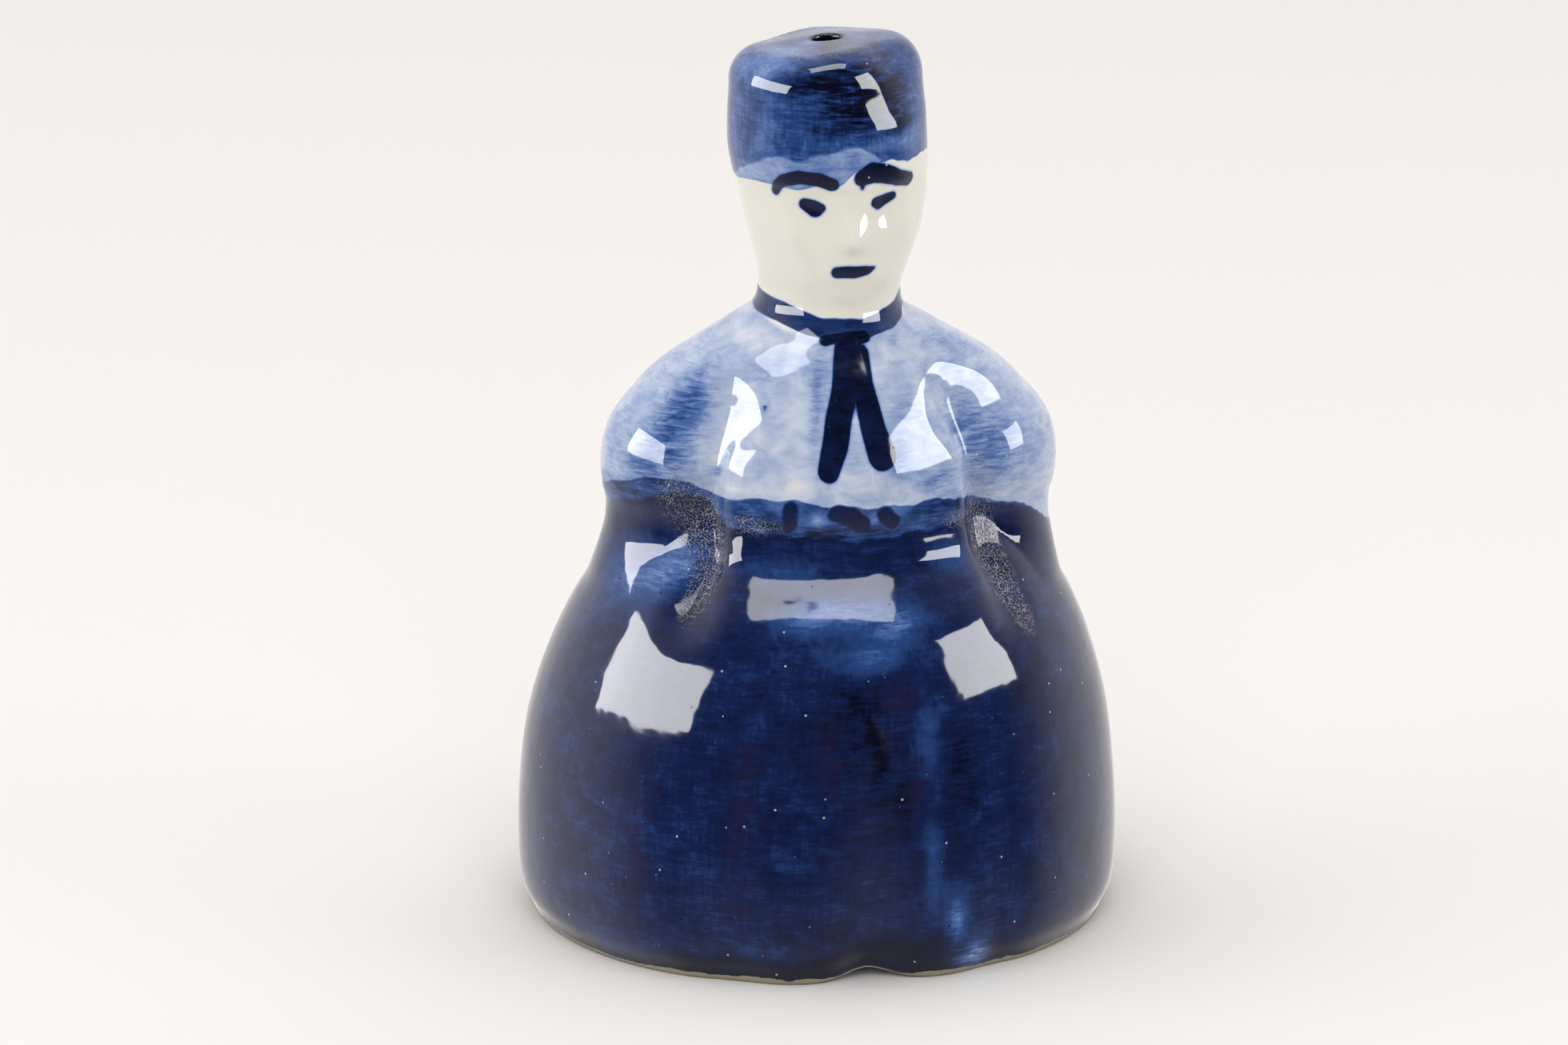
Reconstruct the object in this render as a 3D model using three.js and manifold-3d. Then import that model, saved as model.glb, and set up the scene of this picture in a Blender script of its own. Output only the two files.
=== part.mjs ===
// A slip-cast porcelain table bell in the shape of a boy in a cap and wide trousers, hands in his pockets.
// The fired shell is one piece. Under it a wire bar crosses the neck, a ring hangs on the bar, and a wire
// stem hangs in the ring with a porcelain bead threaded on it as the clapper.
// Millimetres, +Z up. The boy faces -Y, and the origin is the middle of his footprint on the table.
import * as THREE from "three";
import { mergeVertices } from "three/addons/utils/BufferGeometryUtils.js";
import Module from "manifold-3d";

const wasm = await Module();
wasm.setup();

const { smoothstep, degToRad, lerp } = THREE.MathUtils;

// ---- driving dimensions ----

const HEIGHT = 100;
const WALL = 3.2; // thickness of the drained slip
const CROWN_WALL = 3.6;
const CROWN_HOLE_RADIUS = 1.6;
const NECK_BORE_RADIUS = 4.9; // narrowest place of the hollow
const GAP = 0.3; // room between pieces that touch

// Upper body, neck and cap stand a little off the middle of the footprint.
const UPRIGHT_AXIS = new THREE.Vector2(0.6, -2);

// Half sizes of the figure without its arms, from the table up: height, to the side, to the front, to the back.
const STATIONS = [
  [0, 32.2, 30.8, 30.8], // foot rim, drawn in
  [3, 33.4, 31.8, 31.8],
  [8, 33.8, 32.2, 32.2], // widest part of the trousers
  [16, 33.5, 31.8, 32],
  [24, 32.4, 30.5, 30.8],
  [32, 29.9, 27.9, 28.4],
  [39, 26.4, 24.6, 25],
  [45, 22.4, 21, 21.4],
  [50, 20.6, 18.6, 19], // waist
  [55, 20.1, 17.9, 17.6],
  [60, 19.2, 16, 15.6],
  [64, 17.3, 13.2, 12.8], // shoulders
  [67.5, 12.4, 10.6, 10.4],
  [69.8, 8.6, 9, 9],
  [72, 7.9, 8.9, 8.6], // neck
  [75, 8.4, 10.1, 9.4],
  [79, 9.6, 11, 10.4],
  [84, 10.6, 11.1, 11],
  [88, 11, 11.5, 11.3], // band of the cap
  [92, 10.8, 11.1, 11],
  [95.4, 10.4, 10.4, 10.4], // where the crown begins to round
];
const CROWN_START = 95.4;
const CROWN_ROUNDING = 4.2; // height of the rounded edge
const CROWN_EDGE = 4; // and how far in it reaches
const CROWN_SLUMP = 1.2; // the boy's right side of the crown sagged
const CROWN_FALL = 0.6; // and its back fell off a little

// Arms: how far they stand out at the side, by height.
const ARM_SWELL = [
  [38, 0],
  [41, 0.8],
  [45, 2.5],
  [49, 4.2],
  [53, 4.9],
  [57, 4.1],
  [61, 2.1],
  [65, 0.4],
  [68, 0],
];
const ARM_HALF_WIDTH = 40; // degrees either side of the arm's middle
const ARM_TURN = -3; // degrees, the chest is turned a little to the boy's left

const BAR_HEIGHT = 72.4;
const BAR_RADIUS = 0.8;
const BAR_HALF_LENGTH = 6.4;
const WIRE_RADIUS = 0.6;
const RING_RADIUS = 2.9; // to the middle of the wire
const EYE_RADIUS = 2;
const CURL_RADIUS = 1.6;
const BEAD_RADIUS = 6.5;
const BEAD_HEIGHT = 22;
const BEAD_BORE_RADIUS = 1;

// Fineness of the solids
const SHELL_SECTORS = 54;
const WIRE_SIDES = 8;
const RING_STEPS = 24;

// ---- helpers ----

// A smooth curve through rows of [height, value, ...].
function curveThrough(rows) {
  const width = rows[0].length - 1;
  const heights = rows.map((row) => row[0]);
  const values = rows.flatMap((row) => row.slice(1));
  const curve = new THREE.CubicInterpolant(heights, values, width, new Array(width));
  return (z) => [...curve.evaluate(z)];
}

const outline = curveThrough(STATIONS);
const armSwell = curveThrough(ARM_SWELL);

// Evenly spaced heights, without the last one.
const levels = (from, to, count) => Array.from({ length: count }, (_, i) => lerp(from, to, i / count));

// A soft bump of height 1 at 0.
const bump = (x, width) => Math.exp(-((x / width) ** 2));

// 1 between two heights, fading over a soft edge at either end.
const band = (z, low, high, soft) =>
  smoothstep(z, low - soft, low + soft) * (1 - smoothstep(z, high - soft, high + soft));

// Degrees from one direction to another, the short way round.
const turned = (heading, at) => ((((heading - at + 180) % 360) + 360) % 360) - 180;

// ---- the figure's shape: distance of its surface from the upright axis ----
// A heading is in degrees from the front, positive towards the boy's left hand (+X).

function plan(heading, z) {
  const [side, front, back] = outline(z);
  const across = Math.sin(degToRad(heading));
  const along = Math.cos(degToRad(heading));
  return 1 / Math.hypot(across / side, along / (along > 0 ? front : back));
}

function arms(heading, z) {
  if (z < ARM_SWELL[0][0] || z > ARM_SWELL.at(-1)[0]) return 0;
  return [-90, 90]
    .map((side) => {
      const t = turned(heading, side + ARM_TURN) / ARM_HALF_WIDTH;
      return Math.abs(t) < 1 ? armSwell(z)[0] * (1 - t ** 2) : 0;
    })
    .reduce((a, b) => a + b);
}

// The creases between arms and chest, running down into the pockets.
function creases(heading, z) {
  const lean = 8 * (1 - smoothstep(z, 34, 50)); // they move forward below the waist
  const depth = 1.3 * band(z, 38, 63, 3);
  const back = 0.8 * band(z, 44, 62, 3);
  const front = [-53, 49].map((at) => bump(turned(heading, at - Math.sign(at) * lean), 6));
  const rear = [-133, 133].map((at) => bump(turned(heading, at), 7));
  return -depth * (front[0] + front[1]) - back * (rear[0] + rear[1]);
}

// The parting between the trouser legs, in front and behind, and the short fly crease.
function parting(heading, z) {
  const low = 1 - smoothstep(z, 2, 30);
  const front = 2.3 * low * bump(turned(heading, 0), 9);
  const rear = 1.5 * low * bump(turned(heading, 180), 10);
  const fly = 0.5 * band(z, 24, 31, 2) * bump(turned(heading, 1), 4);
  return -front - rear - fly;
}

function face(heading, z) {
  const nose = 1.5 * bump(turned(heading, 1), 8) * smoothstep(z, 77.8, 79.6) * (1 - smoothstep(z, 79.6, 85.5));
  const sockets = 0.5 * (bump(turned(heading, -19), 9) + bump(turned(heading, 21), 9)) * bump(z - 82.6, 2);
  const mouth = 0.35 * bump(turned(heading, 1), 16) * bump(z - 75.6, 1.3);
  const chin = 0.5 * bump(turned(heading, 1), 18) * bump(z - 72.8, 1.4);
  return nose - sockets + mouth + chin;
}

// The cap's peak: a low ledge over the brow.
function peak(heading, z) {
  const around = 1 - smoothstep(Math.abs(turned(heading, -8)), 35, 75);
  return 0.6 * around * smoothstep(z, 84.8, 86.2) * (1 - smoothstep(z, 86.8, 90.5));
}

const relief = (heading, z) =>
  arms(heading, z) + creases(heading, z) + parting(heading, z) + face(heading, z) + peak(heading, z);

const skin = (heading, z) => plan(heading, z) + relief(heading, z);

// The slip drains to an even wall, so the hollow follows the outside with its relief softened.
function hollow(heading, z) {
  const slope = outline(z + 1)[0] - outline(z - 1)[0];
  const across = WALL * Math.hypot(1, slope / 2);
  return Math.max(plan(heading, z) + 0.7 * relief(heading, z) - across, NECK_BORE_RADIUS);
}

// How the whole figure sits: the upper body off centre, the crown sagged to the boy's right,
// and the rim lifted off the table where the legs part.
function settle(point, heading) {
  const { z } = point;
  const upright = smoothstep(z, 16, 50);
  const sag = CROWN_SLUMP * smoothstep(-point.x, -1, 7) + CROWN_FALL * smoothstep(point.y, 1, 8);
  const arch = 1.1 * bump(turned(heading, 0), 6.5) + 0.5 * bump(turned(heading, 180), 8);
  point.z += arch * (1 - smoothstep(z, 0, 14)) - sag * smoothstep(z, 90, HEIGHT);
  point.x += UPRIGHT_AXIS.x * upright;
  point.y += UPRIGHT_AXIS.y * upright;
  return point;
}

// ---- the shell ----

// Rings of the surface: up the outside, over the crown, through the hole and down the hollow.
function shellRings() {
  const outside = [
    ...levels(0, 3, 2),
    ...levels(3, 40, 9),
    ...levels(40, 56, 7),
    ...levels(56, 70, 7),
    ...levels(70, 86, 12),
    ...levels(86, CROWN_START, 6),
  ];
  const inside = [...levels(0, 60, 11), ...levels(60, 71, 5), ...levels(71, 93, 6)].reverse();
  const ceiling = HEIGHT - CROWN_WALL;
  const quarter = [0, 0.25, 0.5, 0.75, 1].map((t) => (t * Math.PI) / 2);
  const rings = outside.map((z) => ({ z, reach: (heading) => skin(heading, z) }));
  for (const t of quarter)
    rings.push({
      z: CROWN_START + CROWN_ROUNDING * Math.sin(t),
      reach: (heading) => skin(heading, CROWN_START) - CROWN_EDGE * (1 - Math.cos(t)),
    });
  rings.push({ z: HEIGHT, reach: () => CROWN_HOLE_RADIUS });
  rings.push({ z: ceiling, reach: () => CROWN_HOLE_RADIUS });
  for (const t of [...quarter].reverse())
    rings.push({
      z: lerp(93, ceiling, Math.sin(t)),
      reach: (heading) => hollow(heading, 93) - 3 * (1 - Math.cos(t)),
    });
  return [...rings, ...inside.map((z) => ({ z, reach: (heading) => hollow(heading, z) }))];
}

function shellGeometry() {
  const rings = shellRings();
  const loop = [...rings, rings[0]];
  const profile = loop.map((ring) => new THREE.Vector2(ring.reach(0), ring.z));
  const geometry = new THREE.LatheGeometry(profile, SHELL_SECTORS);
  const position = geometry.getAttribute("position");
  for (let i = 0; i < position.count; i++) {
    const ring = loop[i % loop.length];
    const sector = Math.floor(i / loop.length) % SHELL_SECTORS;
    const heading = (360 * sector) / SHELL_SECTORS;
    const reach = ring.reach(heading);
    const angle = degToRad(heading);
    const point = new THREE.Vector3(reach * Math.sin(angle), -reach * Math.cos(angle), ring.z);
    position.setXYZ(i, ...settle(point, heading));
  }
  return geometry;
}

// ---- booleans ----

function toSolid(geometry) {
  const bare = geometry.clone();
  bare.deleteAttribute("normal");
  bare.deleteAttribute("uv");
  const merged = mergeVertices(bare, 1e-4);
  return new wasm.Manifold(
    new wasm.Mesh({
      numProp: 3,
      vertProperties: merged.getAttribute("position").array,
      triVerts: new Uint32Array(merged.index.array),
    }),
  );
}

function toGeometry(solid) {
  const mesh = solid.getMesh();
  const geometry = new THREE.BufferGeometry();
  geometry.setAttribute("position", new THREE.BufferAttribute(mesh.vertProperties, 3));
  geometry.setIndex(new THREE.BufferAttribute(mesh.triVerts, 1));
  geometry.computeVertexNormals();
  return geometry;
}

// ---- pieces ----

const glaze = new THREE.MeshStandardMaterial({ color: 0x1d3573, roughness: 0.12, metalness: 0 });
const white = new THREE.MeshStandardMaterial({ color: 0xe9eae2, roughness: 0.15, metalness: 0 });
const wire = new THREE.MeshStandardMaterial({ color: 0x8a8780, roughness: 0.35, metalness: 1 });

function named(name, geometry, material) {
  const mesh = new THREE.Mesh(geometry, material);
  mesh.name = name;
  return mesh;
}

const barGeometry = (radius, halfLength) =>
  new THREE.CylinderGeometry(radius, radius, 2 * halfLength, 16)
    .rotateZ(Math.PI / 2)
    .translate(UPRIGHT_AXIS.x, UPRIGHT_AXIS.y, BAR_HEIGHT);

// The shell, with the two blind sockets in the neck wall that hold the bar's ends.
function bellBody() {
  const sockets = barGeometry(BAR_RADIUS + GAP, BAR_HALF_LENGTH + GAP);
  return named("bell_body", toGeometry(toSolid(shellGeometry()).subtract(toSolid(sockets))), glaze);
}

const hangerBar = () => named("hanger_bar", barGeometry(BAR_RADIUS, BAR_HALF_LENGTH), wire);

// A ring of wire hangs on the bar, in the plane across it.
const ringHeight = BAR_HEIGHT + BAR_RADIUS + GAP + WIRE_RADIUS - RING_RADIUS;
const ringFoot = ringHeight - RING_RADIUS; // middle of the wire at the bottom of the ring

const torus = (radius) => new THREE.TorusGeometry(radius, WIRE_RADIUS, WIRE_SIDES, RING_STEPS);

function hangerRing() {
  const ring = named("hanger_ring", torus(RING_RADIUS).rotateY(Math.PI / 2), wire);
  ring.position.set(UPRIGHT_AXIS.x, UPRIGHT_AXIS.y, ringHeight);
  return ring;
}

// The stem: an eye in the ring, a straight wire, and a curl that keeps the bead on.
function clapperStem() {
  const eye = ringFoot + 2 * WIRE_RADIUS + GAP - EYE_RADIUS;
  const curl = BEAD_HEIGHT - BEAD_RADIUS - GAP - WIRE_RADIUS - CURL_RADIUS;
  const top = eye - EYE_RADIUS;
  const foot = curl + CURL_RADIUS;
  const straight = new THREE.CylinderGeometry(WIRE_RADIUS, WIRE_RADIUS, top - foot, 12)
    .rotateX(Math.PI / 2)
    .translate(0, 0, (top + foot) / 2);
  const solid = toSolid(straight)
    .add(toSolid(torus(EYE_RADIUS).rotateX(Math.PI / 2).translate(0, 0, eye)))
    .add(toSolid(torus(CURL_RADIUS).rotateX(Math.PI / 2).translate(0, 0, curl)));
  const stem = named("clapper_stem", toGeometry(solid), wire);
  stem.position.set(UPRIGHT_AXIS.x, UPRIGHT_AXIS.y, 0);
  return stem;
}

// The bead: a ball with a bore, as a closed turned profile.
function clapperBead() {
  const start = Math.asin(BEAD_BORE_RADIUS / BEAD_RADIUS);
  const steps = 14;
  const profile = Array.from({ length: steps + 1 }, (_, i) => {
    const t = lerp(start, Math.PI - start, i / steps);
    return new THREE.Vector2(BEAD_RADIUS * Math.sin(t), -BEAD_RADIUS * Math.cos(t));
  });
  profile.push(profile[0].clone());
  const bead = named("clapper_bead", new THREE.LatheGeometry(profile, 28).rotateX(Math.PI / 2), white);
  bead.position.set(UPRIGHT_AXIS.x, UPRIGHT_AXIS.y, BEAD_HEIGHT);
  return bead;
}

const bell = new THREE.Group();
bell.add(bellBody(), hangerBar(), hangerRing(), clapperStem(), clapperBead());

export default bell;
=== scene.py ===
"""A hand-painted porcelain table bell: a boy in a cap and wide trousers, with a wire hanger and a bead.

The bell's frame is loaded first, and every piece is made in that frame, in metres. The figure faces -Y.
"""

import math

import bmesh
import bpy
import numpy as np
from bpy.props import FloatProperty, FloatVectorProperty, IntProperty, PointerProperty
from bpy.types import Operator, Panel, PropertyGroup
from mathutils import Matrix, Vector


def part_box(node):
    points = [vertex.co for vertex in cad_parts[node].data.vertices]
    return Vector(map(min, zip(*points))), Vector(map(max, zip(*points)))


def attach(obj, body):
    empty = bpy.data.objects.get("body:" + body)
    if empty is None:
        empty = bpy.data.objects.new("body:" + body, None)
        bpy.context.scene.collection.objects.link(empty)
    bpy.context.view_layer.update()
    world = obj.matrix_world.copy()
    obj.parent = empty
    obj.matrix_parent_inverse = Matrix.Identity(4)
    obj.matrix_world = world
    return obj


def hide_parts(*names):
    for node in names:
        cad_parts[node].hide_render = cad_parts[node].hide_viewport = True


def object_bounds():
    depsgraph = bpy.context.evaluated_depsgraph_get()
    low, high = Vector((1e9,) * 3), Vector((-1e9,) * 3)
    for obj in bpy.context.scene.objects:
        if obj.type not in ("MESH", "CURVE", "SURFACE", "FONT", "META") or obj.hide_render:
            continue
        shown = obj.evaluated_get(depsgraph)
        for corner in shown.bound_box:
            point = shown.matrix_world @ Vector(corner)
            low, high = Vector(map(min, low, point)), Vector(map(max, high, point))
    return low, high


bl_info = {
    "name": "Porcelain figurine bell",
    "version": (1, 0, 0),
    "blender": (4, 5, 0),
    "location": "View3D > Sidebar > Bell",
    "description": "Makes a painted porcelain table bell with its hanger and clapper",
    "category": "Add Mesh",
}

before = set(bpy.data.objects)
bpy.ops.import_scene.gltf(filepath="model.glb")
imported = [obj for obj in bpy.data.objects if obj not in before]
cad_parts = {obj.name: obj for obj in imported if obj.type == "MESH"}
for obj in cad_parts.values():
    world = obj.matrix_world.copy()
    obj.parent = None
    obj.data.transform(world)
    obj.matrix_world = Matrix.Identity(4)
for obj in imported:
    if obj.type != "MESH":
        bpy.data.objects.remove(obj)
FRAME_LOW, FRAME_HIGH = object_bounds()

MM = 0.001
HEIGHT = FRAME_HIGH.z / MM
BAR_LOW, BAR_HIGH = (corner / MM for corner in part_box("hanger_bar"))
RING_LOW, RING_HIGH = (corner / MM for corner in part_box("hanger_ring"))
STEM_LOW, STEM_HIGH = (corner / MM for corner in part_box("clapper_stem"))
BEAD_LOW, BEAD_HIGH = (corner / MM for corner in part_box("clapper_bead"))


def linear(code):
    """An sRGB colour such as "#1D3573" as linear red, green, blue and alpha."""
    parts = [int(code[i : i + 2], 16) / 255 for i in (1, 3, 5)]
    return tuple(c / 12.92 if c <= 0.04045 else ((c + 0.055) / 1.055) ** 2.4 for c in parts) + (1.0,)


# ---- what a user may change ----


def size(name, description, millimetres):
    return FloatProperty(
        name=name, description=description, default=millimetres * MM, min=0, unit="LENGTH", precision=4
    )


def colour(name, description, code):
    return FloatVectorProperty(
        name=name, description=description, default=linear(code), size=4, min=0, max=1, subtype="COLOR"
    )


class BellSizes(PropertyGroup):
    """Sizes of the shell and of what hangs in it."""

    wall: size("Wall", "Thickness of the porcelain", 3.2)
    hole: size("Crown hole", "Radius of the hole in the crown", 1.6)
    wire: size("Wire", "Radius of the hanger's wire", (RING_HIGH.x - RING_LOW.x) / 2)
    pin: size("Pin", "Radius of the pin across the neck", (BAR_HIGH.z - BAR_LOW.z) / 2)
    bead: size("Bead", "Radius of the clapper's bead", (BEAD_HIGH.x - BEAD_LOW.x) / 2)
    bore: size("Bore", "Radius of the bead's bore", 1)
    sectors: IntProperty(name="Sectors", description="Steps round the shell", default=350, min=24, max=352)


class BellFinishes(PropertyGroup):
    """Colours of the clay, the paint, the wire and the floor."""

    bare: colour("Bare porcelain", "Glazed white with no paint on it", "#E4E2D7")
    faint: colour("Faint wash", "The thinnest cobalt", "#BFC8DA")
    light: colour("Light wash", "Thin cobalt, as on the shirt", "#93A5C8")
    middle: colour("Middle blue", "One coat of cobalt", "#5370A9")
    full: colour("Full blue", "A loaded coat of cobalt", "#27467F")
    deep: colour("Deep blue", "Several coats, as on the trousers", "#101F49")
    black: colour("Black blue", "Paint so thick that it fires black", "#06081A")
    biscuit: colour("Biscuit", "Unglazed clay at the foot", "#968E78")
    dust: colour("Dust", "Dust and lint in the creases", "#8F8A88")
    run: colour("Run", "Brownish runs in the glaze", "#271E38")
    speck: colour("White speck", "Kiln dust fired into the glaze", "#C9C4C4")
    spot: colour("Dark spot", "Cobalt grains in the paint", "#0A0B1C")
    cloud: colour("Clouded porcelain", "Where the bead's glaze lies thick", "#D5D2C4")
    iron: colour("Iron speck", "Iron in the bead's clay", "#6B5A48")
    steel: colour("Steel", "The hanger's wire", "#9A9791")
    film: colour("Kiln film", "Brownish film on the wire", "#5E4B3B")
    paper: colour("Paper", "The floor", "#E1DFDD")


class BellStudio(PropertyGroup):
    """The camera's place."""

    azimuth: FloatProperty(
        name="Azimuth",
        description="Turn of the view round the bell",
        default=math.radians(-11),
        unit="ROTATION",
    )
    elevation: FloatProperty(
        name="Elevation",
        description="Height of the view over the table",
        default=math.radians(16),
        unit="ROTATION",
    )
    distance: FloatProperty(
        name="Distance", description="From the lens to the bell", default=0.85, unit="LENGTH"
    )
    lens: FloatProperty(name="Lens", description="Focal length", default=171.96, unit="CAMERA")


# ---- the figure's shape, in millimetres ----
# A heading is in degrees from the front, positive towards the boy's left hand (+X).

UPRIGHT_AXIS = (0.6, -2.0)  # upper body, neck and cap stand a little off the middle of the footprint

# Half sizes without the arms, from the table up: height, to the side, to the front, to the back.
STATIONS = (
    (0, 32.2, 30.8, 30.8),
    (3, 33.4, 31.8, 31.8),
    (8, 33.8, 32.2, 32.2),
    (16, 33.5, 31.8, 32),
    (24, 32.4, 30.5, 30.8),
    (32, 29.9, 28.6, 28.4),
    (36, 28.1, 26.7, 26.8),
    (39, 26.4, 24.8, 25),
    (42, 24.5, 21.9, 23.1),
    (45, 22.4, 19.1, 21.2),
    (46.5, 21.5, 18.75, 20.3),
    (48.2, 20.75, 18.4, 19.5),
    (50, 20.6, 18.5, 19),
    (55, 20.1, 17.9, 17.6),
    (60, 19.2, 16.1, 15.6),
    (64, 17.3, 13.7, 12.8),
    (67.5, 12.4, 11, 10.4),
    (69.8, 8.6, 9.4, 9),
    (72, 7.9, 8.9, 8.6),
    (75, 8.4, 10.1, 9.4),
    (79, 9.6, 11, 10.4),
    (84, 10.6, 11.1, 11),
    (88, 11, 11.5, 11.3),
    (92, 10.95, 11.35, 11.2),
    (96, 10.8, 11.1, 11),
)
ARM_SWELL = (
    (38, 0), (41, 0.8), (45, 2.5), (49, 4.2), (53, 4.9), (57, 4.5), (61, 2.5), (65, 0.5), (68, 0),
)
ARM_HALF_WIDTH = (26, 40)  # degrees either side of the arm's middle, at the hand and above the cuff
# Degrees from the front, height.
ARM_RIDGE = ((0, 68), (40, 67), (60, 64.8), (80, 61.6), (95, 59), (180, 59))
ARM_TURN = -3  # degrees, the chest is turned a little
ARM_FULLNESS = (1, 1.12)  # the boy's right and left arm
HEAD_SHIFT = ((66, 0), (72, 0.3), (78, 0.7), (83, 0.6), (88, 0.1), (93, 0))

# Partings and folds of the trousers, dying out upwards: heading, half width in degrees, depth.
LEG_FOLDS = ((0, 9, 2.3), (180, 10, 1.5), (-29, 7, 0.5), (27, 6, 0.5))
# Where the rim lifts off the table: heading, half width in degrees, height.
RIM_ARCHES = ((0, 6.5, 1.1), (180, 8, 0.5), (-82, 25, 0.35))
# Cheeks, eye sockets, mouth and chin: heading, height, half width in degrees, half height, relief.
FACE = (
    (-34, 80.4, 10, 1.9, 0.45),
    (36, 80.4, 10, 1.9, 0.45),
    (-19, 82.6, 9, 2, -0.6),
    (21, 82.6, 9, 2, -0.6),
    (1, 75.6, 16, 1.3, 0.35),
    (1, 72.8, 18, 1.4, 0.5),
)
FLY_DEPTH = 0.45
FLY = ((20, 1), (24, 2), (27, 1.8), (29.2, 0), (31.1, -2.5), (33.2, -6), (34.5, -9.7))  # height, heading

CROWN_START = 96
CROWN_WALL = 3.6
CROWN_EDGE = 3.4
NECK_BORE = 4.9
FOOT_ROUNDING = 0.7
HOLE_LIP = 0.35
DOME_START = 93  # the hollow rounds over into its ceiling from here
DOME_ROUNDING = 3


def smoothstep(x, low, high):
    t = np.clip((x - low) / (high - low), 0, 1)
    return t * t * (3 - 2 * t)


def bump(x, width):
    """A soft bump of height 1 at 0."""
    return np.exp(-((x / width) ** 2))


def band(x, low, high, soft):
    """1 between two values, fading over a soft edge at either end."""
    return smoothstep(x, low - soft, low + soft) * (1 - smoothstep(x, high - soft, high + soft))


def spots(rows, heading, z):
    """The sum of soft spots, each (heading, height, half width in degrees, half height, amount)."""
    total = np.zeros(len(heading))
    for at, height, wide, high, *amount in rows:
        total += (amount or [1])[0] * bump(turned(heading, at), wide) * bump(z - height, high)
    return total


def turned(heading, at):
    """Degrees from one heading to another, the short way round."""
    return (heading - at + 180) % 360 - 180


def curve_through(rows, x):
    """A smooth curve through rows of (height, value, ...), read at the heights x."""
    rows = np.array(rows, float)
    at, values = rows[:, 0], rows[:, 1:]
    slopes = np.diff(values, axis=0) / np.diff(at)[:, None]
    tangents = np.zeros_like(values)
    tangents[1:-1] = (slopes[:-1] + slopes[1:]) / 2
    x = np.clip(np.asarray(x, float), at[0], at[-1])
    i = np.clip(np.searchsorted(at, x, side="right") - 1, 0, len(at) - 2)
    step = (at[i + 1] - at[i])[:, None]
    t = (x - at[i])[:, None] / step
    start = (2 * t**3 - 3 * t**2 + 1) * values[i] + (t**3 - 2 * t**2 + t) * step * tangents[i]
    end = (3 * t**2 - 2 * t**3) * values[i + 1] + (t**3 - t**2) * step * tangents[i + 1]
    return (start + end).T


def plan(heading, z):
    """Distance of the plain body from its axis: at each height, half an ellipse in front and half behind."""
    side, front, back = curve_through(STATIONS, z)
    across, along = np.sin(np.radians(heading)), np.cos(np.radians(heading))
    return 1 / np.hypot(across / side, along / np.where(along > 0, front, back))


def arms(heading, z):
    """The arms, swelling off the body at either side, with a low ridge along the shoulder."""
    (swell,) = curve_through(ARM_SWELL, z)
    hand, sleeve = ARM_HALF_WIDTH
    half_width = hand + (sleeve - hand) * smoothstep(z, 42, 54)
    rounds = 0
    for side, fullness in zip((-90, 90), ARM_FULLNESS):
        across = turned(heading, side + ARM_TURN) / half_width
        rounds += fullness * np.clip(1 - across**2, 0, 1)
    ridge_z = curve_through(ARM_RIDGE, np.abs(turned(heading, ARM_TURN)))[0]
    return swell * rounds + 0.45 * bump(z - ridge_z, 1.6) * band(np.abs(heading), 42, 70, 8)


def creases(heading, z):
    """The creases between arms and chest, running down into the pockets."""
    lean = 8 * (1 - smoothstep(z, 34, 50))
    width = 6 + 7 * smoothstep(z, 55, 60)
    front = sum(bump(turned(heading, at - np.sign(at) * lean), width) for at in (-53, 49))
    rear = sum(bump(turned(heading, at), 7) for at in (-133, 133))
    dimple = bump(turned(heading, -49), 6) * bump(z - 43.5, 4)
    depth = 1.2 + 0.5 * smoothstep(z, 55, 60)
    return -depth * band(z, 38, 63, 3) * front - 0.8 * band(z, 44, 62, 3) * rear - 0.8 * dimple


def fly_crease(heading, z):
    """1 along the sharp crease from the fly down into the parting, fading to 0 beside it."""
    (at,) = curve_through(FLY, z)
    return bump(turned(heading, at), 1.4) * band(z, 23, 33.5, 1.2)


def parting(heading, z):
    """The parting between the trouser legs, front and back, the folds beside it and the fly crease."""
    low = 1 - smoothstep(z, 2, 30)
    folds = sum(deep * bump(turned(heading, at), wide) for at, wide, deep in LEG_FOLDS)
    return -low * folds - FLY_DEPTH * fly_crease(heading, z)


def chest(heading, z):
    """The chest's ridge behind the scarf, which falls away sooner on the boy's left."""
    across = turned(heading, 5)
    ridge = np.where(across > 0, bump(across, 13), bump(across, 28))
    return 0.8 * ridge * band(z, 51, 60, 6)


def face(heading, z):
    """The nose and the soft rises and hollows round it."""
    bridge = smoothstep(z, 77.4, 79.4) * (1 - smoothstep(z, 79.5, 83.5))
    nose = 1.05 * bump(turned(heading, 1), 8) * bridge
    return nose + spots(FACE, heading, z)


def cap_taper(heading, z):
    """How far the cap leans in towards its top, over the boy's left brow."""
    above = z - 91
    return 0.24 * above * smoothstep(above, 0, 3) * bump(turned(heading, 42), 32)


def peak(heading, z):
    """The cap's peak: a low ledge over the brow."""
    around = 1 - smoothstep(np.abs(turned(heading, -8)), 35, 75)
    return 0.4 * around * smoothstep(z, 84.6, 86) * (1 - smoothstep(z, 86.4, 92.5))


def relief(heading, z):
    """Everything that stands off or sinks into the plain body."""
    return sum(shape(heading, z) for shape in (arms, creases, parting, chest, face, peak))


def skin(heading, z):
    """Distance of the outside from the upright axis."""
    return plan(heading, z) + relief(heading, z)


def hollow(heading, z, wall):
    """The inside: an even wall behind the skin, with its relief softened."""
    slope = curve_through(STATIONS, z + 1)[0] - curve_through(STATIONS, z - 1)[0]
    behind = plan(heading, z) + 0.7 * relief(heading, z) - wall * np.hypot(1, slope / 2)
    return np.maximum(behind, NECK_BORE)


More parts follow.
